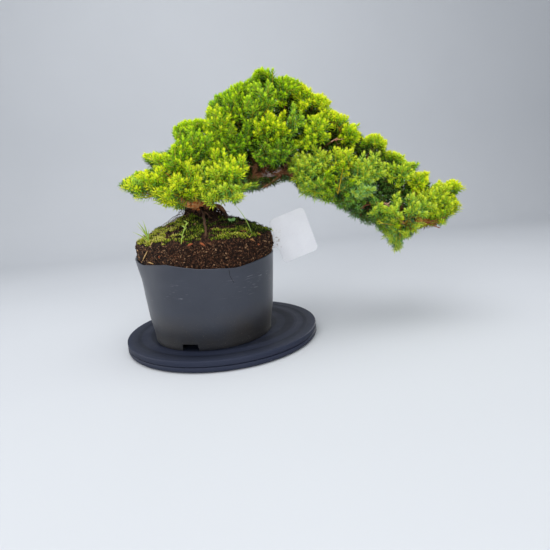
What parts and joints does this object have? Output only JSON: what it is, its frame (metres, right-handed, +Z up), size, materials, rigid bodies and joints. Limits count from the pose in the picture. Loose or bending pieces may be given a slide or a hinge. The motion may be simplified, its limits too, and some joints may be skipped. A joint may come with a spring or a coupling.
{
  "type": "juniper bonsai",
  "caption": "Needle-leaved garden juniper bonsai leaning to one side over a cut-down nursery pot with its peat root ball and a T label, on a round turntable that turns freely.",
  "frame": {"origin": "centre of the turntable's flat underside, on the surface it stands on", "axes": "+Z up along the turntable's axis, +X level, along the long side of the tree that leans out over the label"},
  "size_m": [0.4673, 0.25, 0.3348],
  "materials": {
    "turntable_plastic": "satin blue-black moulded plastic with dust",
    "glide_plastic": "plain slippery plastic",
    "steel": "plain turned steel",
    "pot_plastic": "satin charcoal nursery-pot plastic, scuffed, with a hand-cut rim",
    "soil": "moist peat with fibres, moss and crumbs",
    "bark": "fibrous flaking juniper bark",
    "foliage": "waxy juniper needles, lime green at the tips and darker within",
    "label_plastic": "smooth white plant-label plastic, a little soiled",
    "grass": "soft leaf green"
  },
  "bodies": {
    "turntable_foot": {"turntable_base": "turntable_plastic", "turntable_ring": "glide_plastic", "turntable_pivot": "steel"},
    "turning_top": {"grass_blade": "grass", "grass_tuft": "grass", "label": "label_plastic", "pot": "pot_plastic", "seedling_leaf": "grass", "soil": "soil", "spray_centre_face": "foliage", "spray_centre_foot": "foliage", "spray_centre_low": "foliage", "spray_centre_right": "foliage", "spray_crest": "foliage", "spray_crest_right": "foliage", "spray_dome_face": "foliage", "spray_dome_front_left": "foliage", "spray_dome_left": "foliage", "spray_dome_peak": "foliage", "spray_dome_shoulder": "foliage", "spray_dome_upper_left": "foliage", "spray_end_crest": "foliage", "spray_end_front": "foliage", "spray_end_low": "foliage", "spray_end_tip": "foliage", "spray_front_low_left": "foliage", "spray_front_lower": "foliage", "spray_front_rise": "foliage", "spray_front_upper": "foliage", "spray_left_back": "foliage", "spray_left_crown": "foliage", "spray_left_front": "foliage", "spray_left_lower": "foliage", "spray_left_spike": "foliage", "spray_left_tip": "foliage", "spray_left_upper": "foliage", "spray_low_left": "foliage", "spray_low_mid": "foliage", "spray_mid_left": "foliage", "spray_mid_right": "foliage", "spray_mid_top": "foliage", "spray_rear_dome": "foliage", "spray_rear_end": "foliage", "spray_rear_left": "foliage", "spray_rear_low": "foliage", "spray_rear_mid": "foliage", "spray_rear_slope": "foliage", "spray_right_dome": "foliage", "spray_right_face": "foliage", "spray_right_shoulder": "foliage", "spray_skirt_front": "foliage", "spray_skirt_mid": "foliage", "spray_skirt_tip": "foliage", "spray_slope": "foliage", "spray_slope_front": "foliage", "spray_slope_low": "foliage", "spray_slope_right": "foliage", "spray_under": "foliage", "trunk": "bark", "turntable_top": "turntable_plastic"}
  },
  "joints": [
    {"name": "turntable_spin", "type": "hinge", "parent": "turntable_foot", "child": "turning_top", "pos_m": [0, 0, 0.0078], "axis": [0, 0, 1], "continuous": true}
  ]
}
